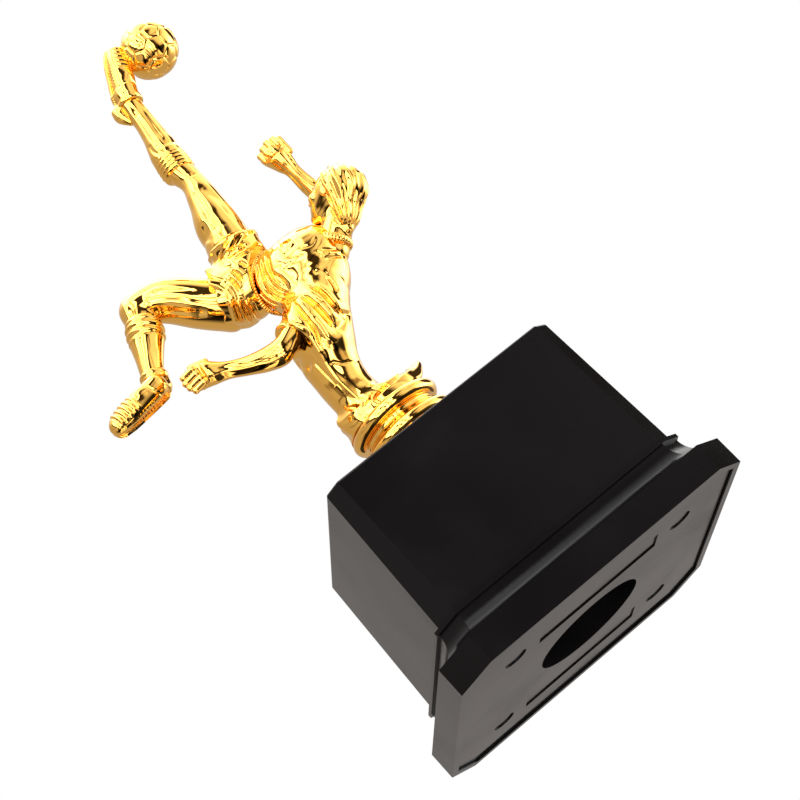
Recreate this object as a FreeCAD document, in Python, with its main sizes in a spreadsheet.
"""Figure trophy: a plated football player in mid-kick on a hollow black plinth.

Millimetres, +Z up. The origin is the centre of the plinth's underside, +X points towards
the player's head and -Y is the front. Driving sizes are in the spreadsheet "Sizes".
"""
import FreeCAD, Part
import os
import re

import Sketcher
from FreeCAD import Placement, Rotation, Vector

os.makedirs("parts", exist_ok=True)
doc = FreeCAD.newDocument("figure_trophy")

# ---------------------------------------------------------------- driving dimensions
PLINTH = {
    "foot_width": 75.5, "foot_height": 6.8, "foot_chamfer": 7.2,
    "cove_bottom_width": 74.4, "cove_top_width": 64.6, "cove_top": 12.7,
    "ledge_width": 65.8, "ledge_top": 13.6, "ledge_chamfer": 4.6,
    "block_bottom_width": 62.9, "block_top_width": 60.0, "block_top": 50.3,
    "block_chamfer": 3.0, "block_edge_radius": 0.8,
    "rim_wall": 1.75, "seat_depth": 2.5, "cavity_foot_width": 65.0, "cavity_step": 5.5,
    "cavity_bottom_width": 57.6, "cavity_top_width": 56.0, "roof_thickness": 2.2,
}
BASE_PLATE = {
    "plate_gap": 0.35, "plate_recess": 0.5, "plate_thickness": 2.0, "plate_chamfer": 6.4,
    "access_radius": 13.45, "tube_wall": 1.6, "tube_length": 8.0,
    "dimple_radius": 2.8, "dimple_depth": 0.3, "dimple_spacing_x": 45.2,
    "dimple_spacing_y": 44.2, "panel_length": 32.0, "panel_width": 7.0,
    "panel_spacing": 44.4,
}
FASTENERS = {
    "ballast_width": 52.0, "ballast_height": 16.0, "ballast_bore_radius": 17.0,
    "ballast_chamfer": 4.0,
    "stud_radius": 2.5, "stud_clearance": 0.05, "stud_hole_clearance": 0.3,
    "stud_bottom": 40.0, "stud_top": 60.0,
    "washer_radius": 7.5, "washer_thickness": 1.2,
    "spring_washer_radius": 4.4, "spring_washer_thickness": 1.3, "spring_washer_gap": 0.8,
    "nut_across_flats": 8.0, "nut_height": 4.0,
}
STAND = {
    "stand_foot_radius": 12.5, "stand_foot_edge": 1.2, "flare_radius": 8.8, "flare_top": 56.0,
    "lower_ring_circle": 10.2, "lower_ring_radius": 1.6, "lower_ring_height": 57.6,
    "stand_neck_radius": 8.8, "stand_split": 60.4,
    "upper_ring_circle": 9.9, "upper_ring_radius": 1.7, "upper_ring_height": 63.0,
    "crown_bottom": 64.7, "crown_top": 69.0, "crown_bottom_radius": 9.6,
    "crown_top_radius": 7.6,
}
PEGS = {"peg_radius": 1.3, "peg_depth": 2.4, "peg_root": 1.2, "peg_clearance": 0.05}
TORSO = {"torso_flatness": 0.68}

# Stations of the figure: x, y and z of a section's centre, then the section's radius.
# "Left" and "right" are the player's own sides.
STATIONS = {
    # the straight leg that kicks
    "left_hip": (-2.4, -0.5, 112.0, 5.8), "left_hem": (-0.9, -1.5, 120.6, 6.4),
    "left_thigh_top": (-0.9, -1.5, 120.6, 5.6), "left_thigh_middle": (1.1, -1.0, 130.0, 4.5),
    "left_knee": (3.1, 0.8, 138.8, 3.2), "left_knee_below": (3.1, 1.3, 142.5, 3.0),
    "left_cuff": (3.1, 1.3, 142.5, 3.7), "left_cuff_below": (3.1, 1.5, 146.6, 3.5),
    "left_calf": (4.1, 2.0, 152.0, 3.5), "left_shin": (5.5, 3.0, 160.0, 2.7),
    "left_ankle": (6.1, 3.0, 165.7, 2.5),
    "left_collar": (6.1, 3.0, 165.7, 2.8), "left_instep": (6.8, 3.2, 170.4, 2.6),
    "left_heel": (3.4, 3.1, 165.4, 1.9), "left_arch": (5.4, 3.3, 169.2, 3.2),
    "left_foot_middle": (8.1, 3.5, 173.6, 3.1), "left_foot_ball": (9.9, 3.8, 178.0, 2.7),
    "left_toe": (11.1, 4.0, 181.2, 1.3),
    # the bent leg that trails
    "right_hip": (-4.2, 0.8, 110.0, 5.9), "right_hem": (-11.2, 2.0, 112.2, 6.9),
    "right_thigh_top": (-11.2, 2.0, 112.2, 6.2), "right_thigh_middle": (-18.4, 3.0, 117.2, 5.0),
    "right_knee_above": (-24.0, 3.1, 120.6, 4.1), "right_knee": (-27.6, 3.0, 120.6, 3.9),
    "right_knee_below": (-29.2, 2.6, 116.8, 3.5),
    "right_cuff": (-29.2, 2.6, 116.8, 4.0), "right_cuff_below": (-30.2, 2.0, 114.0, 3.8),
    "right_calf": (-31.4, 1.0, 111.2, 3.4), "right_ankle": (-34.4, -0.7, 105.2, 2.4),
    "right_collar": (-34.4, -0.7, 105.2, 2.7), "right_instep": (-35.6, -1.1, 102.2, 2.6),
    "right_heel": (-31.8, -0.9, 101.4, 1.9), "right_arch": (-35.4, -1.2, 101.6, 2.9),
    "right_foot_middle": (-42.3, -2.0, 101.2, 2.8), "right_foot_ball": (-46.4, -2.6, 100.6, 2.4),
    "right_toe": (-49.2, -3.0, 100.0, 1.2),
    # the body, from the waist to the collar
    "pelvis": (-3.4, 0.2, 110.4, 7.6),
    "waist": (-0.7, 0.0, 107.0, 7.3), "ribs": (3.0, -1.8, 103.6, 8.4),
    "chest": (6.6, -3.0, 101.8, 9.4), "shoulder_line": (10.4, -4.8, 101.2, 9.2),
    "neck_base": (13.4, -6.4, 101.0, 4.2),
    "right_shoulder": (5.6, -4.6, 95.8, 6.0), "right_sleeve": (-0.4, -7.6, 91.6, 5.2),
    "right_sleeve_hem": (-6.9, -9.0, 89.4, 4.6),
    "left_shoulder": (12.6, -0.8, 107.2, 5.0), "left_sleeve": (17.4, 2.8, 111.2, 4.6),
    "left_sleeve_hem": (20.8, 5.2, 114.6, 4.2),
    # the arms and the head
    "right_arm_top": (-6.9, -9.0, 89.4, 3.6), "right_elbow": (-12.4, -10.0, 88.3, 3.3),
    "right_forearm": (-19.0, -9.2, 91.2, 2.8), "right_wrist": (-26.2, -8.0, 94.8, 1.9),
    "right_knuckles": (-28.4, -8.0, 95.4, 2.7), "right_fist": (-31.0, -8.0, 95.8, 2.3),
    "left_arm_top": (20.8, 5.2, 114.6, 3.2), "left_elbow": (24.8, 7.0, 119.0, 2.8),
    "left_forearm": (25.0, 6.2, 124.0, 2.3), "left_wrist": (24.3, 5.0, 129.6, 1.7),
    "left_knuckles": (23.6, 4.4, 133.0, 2.7), "left_fist": (23.0, 4.0, 136.4, 2.2),
    "nape": (13.4, -6.4, 101.0, 3.6), "skull_base": (19.4, -7.0, 107.0, 3.5),
    "skull": (23.6, -7.0, 111.4, 6.9),
    "football": (19.0, 4.0, 174.9, 6.9),
    # the support under the player's shoulder
    "column_foot": (-2.6, -0.3, 69.0, 7.0), "column_low": (-3.6, -1.2, 75.0, 6.2),
    "column_middle": (-3.6, -2.4, 81.0, 6.8), "column_high": (-0.6, -4.2, 88.0, 8.2),
    "column_top": (2.6, -4.4, 94.0, 8.0),
    "left_leaf_root": (-4.6, -1.0, 67.2, 3.2), "left_leaf_tip": (-10.6, -2.0, 70.0, 0.7),
    "right_leaf_root": (2.4, 0.0, 67.4, 3.2), "right_leaf_tip": (12.4, 0.0, 70.2, 0.7),
}
# The direction across the body, from the player's right side to the left.
ACROSS_SHOULDERS = Vector(0.48, 0.38, 0.79)

sheet = doc.addObject("Spreadsheet::Sheet", "Sizes")
sizes = {}
for group in (PLINTH, BASE_PLATE, FASTENERS, STAND, PEGS, TORSO):
    sizes.update(group)
for station, numbers in STATIONS.items():
    for part_name, number in zip(("along", "deep", "high", "radius"), numbers):
        sizes[f"{station}_{part_name}"] = number
for row, (alias, number) in enumerate(sizes.items(), start=1):
    sheet.set(f"A{row}", alias)
    sheet.set(f"B{row}", str(number))
    sheet.setAlias(f"B{row}", alias)
doc.recompute()


def size(alias):
    """Read one size back from the sheet."""
    return float(getattr(sheet, alias))


def centre(station):
    return Vector(*(size(f"{station}_{name}") for name in ("along", "deep", "high")))


def bind(feature, bindings):
    """Tie properties to expressions in which every alias means its cell in the sheet."""
    for prop, text in bindings.items():
        linked = re.sub(r"[a-z][a-z_]+", lambda word: "Sizes." + word.group()
                        if word.group() in sizes else word.group(), text)
        feature.setExpression(prop, linked)
    return feature


# ---------------------------------------------------------------- primitives and booleans
def primitive(kind, bindings, base=Vector(), direction=Vector(0, 0, 1)):
    """Add a Part primitive with its axis along direction, starting at base."""
    feature = doc.addObject(f"Part::{kind}", kind)
    feature.Placement = Placement(base, Rotation(Vector(0, 0, 1), direction))
    return bind(feature, bindings)


def cylinder(radius, low, high):
    """A vertical cylinder on the axis between two heights."""
    feature = primitive("Cylinder", {"Radius": radius, "Height": f"({high}) - ({low})"})
    return bind(feature, {"Placement.Base.z": low})


def fuse(*features):
    joined = doc.addObject("Part::MultiFuse", "Fuse")
    joined.Shapes = list(features)
    return joined


def cut(base, *tools):
    for tool in tools:
        remaining = doc.addObject("Part::Cut", "Cut")
        remaining.Base, remaining.Tool = base, tool
        base = remaining
    return base


nodes = []


def keep(feature, label):
    """Name a finished sub-part; the label is also its file's name."""
    feature.Label = label
    nodes.append(feature)
    return feature


# ---------------------------------------------------------------- sketches
def sketch_on_base(body, name, height="0"):
    """A sketch on the body's own horizontal plane, raised to a height."""
    plane = next(item for item in body.Origin.OriginFeatures if item.Role == "XY_Plane")
    sketch = body.newObject("Sketcher::SketchObject", name)
    sketch.AttachmentSupport = (plane, [""])
    sketch.MapMode = "FlatFace"
    return bind(sketch, {"AttachmentOffset.Base.z": height})


def draw_outline(sketch, corners):
    """Draw a closed outline whose corners are dimensioned from the centre."""
    count = len(corners)
    spread = Rotation(Vector(0, 0, 1), 360.0 / count)
    points = [Vector(0, -10, 0)]
    for _ in range(count - 1):
        points.append(spread.multVec(points[-1]))
    for start, end in zip(points, points[1:] + points[:1]):
        sketch.addGeometry(Part.LineSegment(start, end), False)
    for index, corner in enumerate(corners):
        sketch.addConstraint(Sketcher.Constraint("Coincident", index, 2, (index + 1) % count, 1))
        for kind, text, now in zip(("DistanceX", "DistanceY"), corner, points[index]):
            number = sketch.addConstraint(Sketcher.Constraint(kind, -1, 1, index, 1, now))
            bind(sketch, {f"Constraints[{number}]": text})


def draw_chamfered_square(sketch, width, chamfer):
    """Draw a centred square with its corners cut off at 45 degrees."""
    edge = f"(({width}) / 2)"
    inner = f"({edge} - ({chamfer}))"
    draw_outline(sketch, [
        (inner, f"-{edge}"), (edge, f"-{inner}"), (edge, inner), (inner, edge),
        (f"-{inner}", edge), (f"-{edge}", inner), (f"-{edge}", f"-{inner}"),
        (f"-{inner}", f"-{edge}")])


def chamfered_section(body, name, width, chamfer, height="0"):
    sketch = sketch_on_base(body, name, height)
    draw_chamfered_square(sketch, width, chamfer)
    return sketch


def pad(body, sketch, length):
    feature = body.newObject("PartDesign::Pad", "Pad")
    feature.Profile = sketch
    return bind(feature, {"Length": length})


def loft(body, kind, sketches):
    feature = body.newObject(f"PartDesign::{kind}", kind)
    feature.Profile = sketches[0]
    feature.Sections = sketches[1:]
    return feature


def pocket(body, sketch, depth, upwards=True):
    feature = body.newObject("PartDesign::Pocket", "Pocket")
    feature.Profile = sketch
    feature.Reversed = upwards
    return bind(feature, {"Length": depth})


def circle_sketch(body, name, radius, height="0"):
    sketch = sketch_on_base(body, name, height)
    sketch.addGeometry(Part.Circle(Vector(), Vector(0, 0, 1), 3), False)
    sketch.addConstraint(Sketcher.Constraint("Coincident", 0, 3, -1, 1))
    number = sketch.addConstraint(Sketcher.Constraint("Radius", 0, 3))
    bind(sketch, {f"Constraints[{number}]": radius})
    return sketch


# ---------------------------------------------------------------- plinth shell
def make_plinth_shell():
    """Hollow moulded plinth: a foot slab, a cove, a small ledge and a drafted block."""
    body = doc.addObject("PartDesign::Body", "plinth_shell_body")
    foot = chamfered_section(body, "foot", "foot_width", "foot_chamfer")
    pad(body, foot, "foot_height")
    sections = []
    steps = 4
    for step in range(steps + 1):
        turn = f"{90 * step / steps} deg"
        width = f"cove_top_width + (cove_bottom_width - cove_top_width) * (1 - sin({turn}))"
        height = f"foot_height + (cove_top - foot_height) * (1 - cos({turn}))"
        chamfer = f"ledge_chamfer + (foot_chamfer - ledge_chamfer) * (1 - sin({turn}))"
        sections.append(chamfered_section(body, f"cove_{step}", width, chamfer, height))
    loft(body, "AdditiveLoft", sections)
    ledge = chamfered_section(body, "ledge", "ledge_width", "ledge_chamfer", "cove_top")
    pad(body, ledge, "ledge_top - cove_top")
    block = chamfered_section(body, "block", "block_top_width", "block_chamfer", "ledge_top")
    pad(body, block, "block_top - ledge_top")
    doc.recompute()
    straight = body.Tip
    faces = [(f"Face{index}", face.BoundBox)
             for index, face in enumerate(straight.Shape.Faces, start=1)]
    sides = [name for name, box in faces
             if box.ZMin > size("ledge_top") - 0.01 and box.ZLength > 1]
    roof = [name for name, box in faces if box.ZMin > size("block_top") - 0.01]
    slope = body.newObject("PartDesign::Draft", "block_draft")
    slope.Base = (straight, sides)
    slope.NeutralPlane = (straight, roof)
    bind(slope, {"Angle": "atan((block_bottom_width - block_top_width) / 2"
                          " / (block_top - ledge_top))"})
    body.Tip = slope
    seat = chamfered_section(body, "seat", "foot_width - 2 * rim_wall",
                             "foot_chamfer - rim_wall / 2")
    pocket(body, seat, "seat_depth")
    hollow = chamfered_section(body, "hollow", "cavity_foot_width", "foot_chamfer")
    pocket(body, hollow, "cavity_step")
    cavity = [chamfered_section(body, "cavity_bottom", "cavity_bottom_width", "block_chamfer",
                                "cavity_step"),
              chamfered_section(body, "cavity_top", "cavity_top_width", "block_chamfer",
                                "block_top - roof_thickness")]
    loft(body, "SubtractiveLoft", cavity)
    hole = circle_sketch(body, "stud_hole", "stud_radius + stud_hole_clearance",
                         "block_top - roof_thickness - 1")
    pocket(body, hole, "roof_thickness + 2")
    doc.recompute()
    drilled = body.Tip
    top_edges = [f"Edge{index}" for index, edge in enumerate(drilled.Shape.Edges, start=1)
                 if len(edge.Vertexes) == 2 and edge.CenterOfMass.z > size("block_top") - 0.01]
    rounding = body.newObject("PartDesign::Fillet", "top_edge")
    rounding.Base = (drilled, top_edges)
    bind(rounding, {"Radius": "block_edge_radius"})
    body.Tip = rounding
    return keep(body, "plinth_shell")


# ---------------------------------------------------------------- base plate
def make_base_plate():
    """Closure plate with an access tube, four round dimples and two blank panels."""
    body = doc.addObject("PartDesign::Body", "base_plate_body")
    outline = chamfered_section(body, "plate", "foot_width - 2 * rim_wall - 2 * plate_gap",
                                "plate_chamfer", "plate_recess")
    pad(body, outline, "plate_thickness")
    tube = circle_sketch(body, "tube", "access_radius + tube_wall", "plate_recess")
    pad(body, tube, "tube_length")
    bore = circle_sketch(body, "access_hole", "access_radius", "plate_recess")
    pocket(body, bore, "tube_length")
    dimples = sketch_on_base(body, "dimples", "plate_recess")
    signs = [(1, 1), (-1, 1), (-1, -1), (1, -1)]
    for index, (side_x, side_y) in enumerate(signs):
        dimples.addGeometry(Part.Circle(Vector(20 * side_x, 20 * side_y, 0), Vector(0, 0, 1), 3))
        for kind, side, spacing in (("DistanceX", side_x, "dimple_spacing_x"),
                                    ("DistanceY", side_y, "dimple_spacing_y")):
            number = dimples.addConstraint(
                Sketcher.Constraint(kind, -1, 1, index, 3, 20.0 * side))
            bind(dimples, {f"Constraints[{number}]": f"{side} * {spacing} / 2"})
        number = dimples.addConstraint(Sketcher.Constraint("Radius", index, 3))
        bind(dimples, {f"Constraints[{number}]": "dimple_radius"})
    pocket(body, dimples, "dimple_depth")
    for name, side in (("front_panel", "-"), ("rear_panel", "")):
        panel = sketch_on_base(body, name, "plate_recess")
        far, near = (f"({side}panel_spacing / 2 {sign} panel_width / 2)" for sign in "+-")
        draw_outline(panel, [("panel_length / 2", near), ("panel_length / 2", far),
                             ("-panel_length / 2", far), ("-panel_length / 2", near)])
        pocket(body, panel, "dimple_depth")
    return keep(body, "base_plate")


# ---------------------------------------------------------------- ballast and fasteners
def make_ballast_block():
    """Cast weight that lies on the base plate around the access tube."""
    body = doc.addObject("PartDesign::Body", "ballast_body")
    floor = "plate_recess + plate_thickness"
    outline = chamfered_section(body, "ballast", "ballast_width", "ballast_chamfer", floor)
    pad(body, outline, "ballast_height")
    bore = circle_sketch(body, "ballast_bore", "ballast_bore_radius", floor)
    pocket(body, bore, "ballast_height")
    return keep(body, "ballast_block")


def make_fasteners():
    """The stud that hangs from the stand, and the washers and nut that clamp it."""
    keep(cylinder("stud_radius", "stud_bottom", "stud_top"), "threaded_stud")
    roof = "block_top - roof_thickness"
    washer_low = f"{roof} - washer_thickness"
    bore = "stud_radius + stud_clearance"
    keep(cut(cylinder("washer_radius", washer_low, roof),
             cylinder(bore, washer_low, roof)), "flat_washer")
    spring_low = f"{washer_low} - spring_washer_thickness"
    gap = primitive("Box", {"Length": "spring_washer_radius * 2", "Width": "spring_washer_gap",
                            "Height": "spring_washer_thickness",
                            "Placement.Base.y": "-spring_washer_gap / 2",
                            "Placement.Base.z": spring_low})
    keep(cut(cylinder("spring_washer_radius", spring_low, washer_low),
             cylinder(bore, spring_low, washer_low), gap), "spring_washer")
    nut_low = f"{spring_low} - nut_height"
    prism = primitive("Prism", {"Circumradius": "nut_across_flats / 2 / cos(30 deg)",
                                "Height": "nut_height", "Placement.Base.z": nut_low})
    prism.Polygon = 6
    keep(cut(prism, cylinder(bore, nut_low, spring_low)), "hex_nut")


# ---------------------------------------------------------------- stand
def ring(name):
    """A round bead of the stand, from its centre circle, radius and height."""
    return primitive("Torus", {"Radius1": f"{name}_ring_circle", "Radius2": f"{name}_ring_radius",
                               "Placement.Base.z": f"{name}_ring_height"})


def make_stand_foot():
    """Bell-shaped foot with the lower ring; it takes the stud in a blind socket."""
    edge_top = "block_top + stand_foot_edge"
    bell = primitive("Cone", {"Radius1": "stand_foot_radius", "Radius2": "flare_radius",
                              "Height": "flare_top - (block_top + stand_foot_edge)",
                              "Placement.Base.z": edge_top})
    solid = fuse(cylinder("stand_foot_radius", "block_top", edge_top), bell,
                 cylinder("flare_radius", "flare_top", "lower_ring_height"), ring("lower"),
                 cylinder("stand_neck_radius", "lower_ring_height", "stand_split"))
    socket = cylinder("stud_radius + stud_clearance", "block_top", "stud_top")
    return keep(cut(solid, socket), "stand_foot")


def make_stand_collar():
    """Upper ring with its neck and a flat seat for the leaf crown."""
    solid = fuse(cylinder("stand_neck_radius", "stand_split", "upper_ring_height"),
                 ring("upper"), cylinder("upper_ring_circle", "upper_ring_height",
                                         "crown_bottom"))
    return keep(solid, "stand_collar")


def tapered(root, tip):
    """A round taper between two stations."""
    axis = centre(tip) - centre(root)
    feature = primitive("Cone", {"Radius1": f"{root}_radius", "Radius2": f"{tip}_radius"},
                        centre(root), axis)
    feature.Height = axis.Length
    return feature


def make_leaf_crown():
    """Drum with two pointed leaves that sweep out to the player's left and right."""
    drum = primitive("Cone", {"Radius1": "crown_bottom_radius", "Radius2": "crown_top_radius",
                              "Height": "crown_top - crown_bottom",
                              "Placement.Base.z": "crown_bottom"})
    leaves = []
    for side in ("left", "right"):
        leaves.append(tapered(f"{side}_leaf_root", f"{side}_leaf_tip"))
    return fuse(drum, *leaves)


# ---------------------------------------------------------------- figure
def directions(stations, before, after):
    """A limb's direction at each station; before and after are the stations beyond it."""
    points = [centre(station) for station in stations]
    ahead = points[1:] + [centre(after) if after else points[-1]]
    behind = [centre(before) if before else points[0]] + points[:-1]
    return [(far - near).normalize() for near, far in zip(behind, ahead)]


def limb(*stations, before=None, after=None, across=None, flatness="1"):
    """Loft a limb through round sections, or through flattened ones laid across."""
    sections = []
    for station, along in zip(stations, directions(stations, before, after)):
        side = across or (Vector(0, 1, 0) if abs(along.y) < 0.9 else Vector(1, 0, 0))
        section = doc.addObject("Part::Ellipse", station)
        bind(section, {"MajorRadius": f"{station}_radius * 1.0001",
                       "MinorRadius": f"{station}_radius * {flatness}"})
        normal = along
        flat_side = (side - normal * side.dot(normal)).normalize()
        section.Placement = Placement(centre(station), Rotation(
            flat_side, normal.cross(flat_side), normal, "ZXY"))
        sections.append(section)
    body = doc.addObject("Part::Loft", f"{stations[0]}_loft")
    body.Sections = sections
    body.Solid = True
    return body


def sphere(station):
    return primitive("Sphere", {"Radius": f"{station}_radius"}, centre(station))


def peg(station, inwards, grow="0"):
    """A round locating peg on a joint face; it points along inwards into the neighbour."""
    start = centre(station) - inwards * size("peg_root")
    return primitive("Cylinder", {"Radius": f"peg_radius + {grow}",
                                  "Height": f"peg_root + peg_depth + {grow}"}, start, inwards)


def make_figure():
    """The player and ball, divided at the hems, cuffs and collars."""
    torso = limb("waist", "ribs", "chest", "shoulder_line", "neck_base", after="skull_base",
                 across=ACROSS_SHOULDERS, flatness="torso_flatness")
    sleeves, legs = [], []
    for side in ("left", "right"):
        sleeves.append(limb(f"{side}_shoulder", f"{side}_sleeve", f"{side}_sleeve_hem",
                            after=f"{side}_elbow"))
        legs.append(limb(f"{side}_hip", f"{side}_hem", after=f"{side}_thigh_middle"))
    pieces = {
        "jersey": fuse(torso, *sleeves),
        "shorts": fuse(sphere("pelvis"), *legs),
        "head": fuse(limb("nape", "skull_base", before="shoulder_line"), sphere("skull")),
        "left_thigh": limb("left_thigh_top", "left_thigh_middle", "left_knee",
                           "left_knee_below", before="left_hip", after="left_cuff_below"),
        "right_thigh": limb("right_thigh_top", "right_thigh_middle", "right_knee_above",
                            "right_knee", "right_knee_below", before="right_hip",
                            after="right_cuff_below"),
        "left_sock": limb("left_cuff", "left_cuff_below", "left_calf", "left_shin",
                          "left_ankle", before="left_knee", after="left_instep"),
        "right_sock": limb("right_cuff", "right_cuff_below", "right_calf", "right_ankle",
                           before="right_knee", after="right_instep"),
        "football": sphere("football"),
        "support_column": limb("column_foot", "column_low", "column_middle", "column_high",
                               "column_top"),
        "leaf_crown": make_leaf_crown(),
    }
    for side, leg_end in (("left", "left_shin"), ("right", "right_calf")):
        shaft = limb(f"{side}_collar", f"{side}_instep", before=leg_end)
        foot = limb(f"{side}_heel", f"{side}_arch", f"{side}_foot_middle",
                    f"{side}_foot_ball", f"{side}_toe")
        pieces[f"{side}_boot"] = fuse(shaft, foot)
        pieces[f"{side}_arm"] = limb(f"{side}_arm_top", f"{side}_elbow", f"{side}_forearm",
                                     f"{side}_wrist", f"{side}_knuckles", f"{side}_fist",
                                     before=f"{side}_sleeve")
    # Where neighbours overlap, the first gives way to the others.
    for piece, others in {
            "shorts": ("jersey",),
            "left_boot": ("left_sock",), "right_boot": ("right_sock",),
            "football": ("left_boot",),
            "support_column": ("jersey", "right_arm", "leaf_crown")}.items():
        pieces[piece] = cut(pieces[piece], *(pieces[other] for other in others))
    # Each joint face has a peg on the outer piece and a socket in the inner one.
    for outer, inner, station, beyond in (
            ("left_thigh", "shorts", "left_thigh_top", "left_thigh_middle"),
            ("right_thigh", "shorts", "right_thigh_top", "right_thigh_middle"),
            ("left_sock", "left_thigh", "left_cuff", "left_cuff_below"),
            ("right_sock", "right_thigh", "right_cuff", "right_cuff_below"),
            ("left_boot", "left_sock", "left_collar", "left_instep"),
            ("right_boot", "right_sock", "right_collar", "right_instep"),
            ("left_arm", "jersey", "left_arm_top", "left_elbow"),
            ("right_arm", "jersey", "right_arm_top", "right_elbow"),
            ("head", "jersey", "nape", "skull_base")):
        inwards = (centre(station) - centre(beyond)).normalize()
        pieces[outer] = fuse(pieces[outer], peg(station, inwards))
        pieces[inner] = cut(pieces[inner], peg(station, inwards, "peg_clearance"))
    for label, piece in pieces.items():
        keep(piece, label)


make_plinth_shell()
make_base_plate()
make_ballast_block()
make_fasteners()
make_stand_foot()
make_stand_collar()
make_figure()
doc.recompute()

faults = [item.Label for item in doc.Objects if "Invalid" in item.State or "Error" in item.State]
if faults:
    raise RuntimeError(f"features failed: {faults}")
for node in nodes:
    if node.Shape.isNull() or not node.Shape.isValid():
        raise RuntimeError(f"{node.Label} has no valid shape")
for node in nodes:
    node.Shape.exportStep(f"parts/{node.Label}.step")
    solids = len(node.Shape.Solids)
    print(f"{node.Label:16s} solids {solids}  volume {node.Shape.Volume:10.1f} mm3")
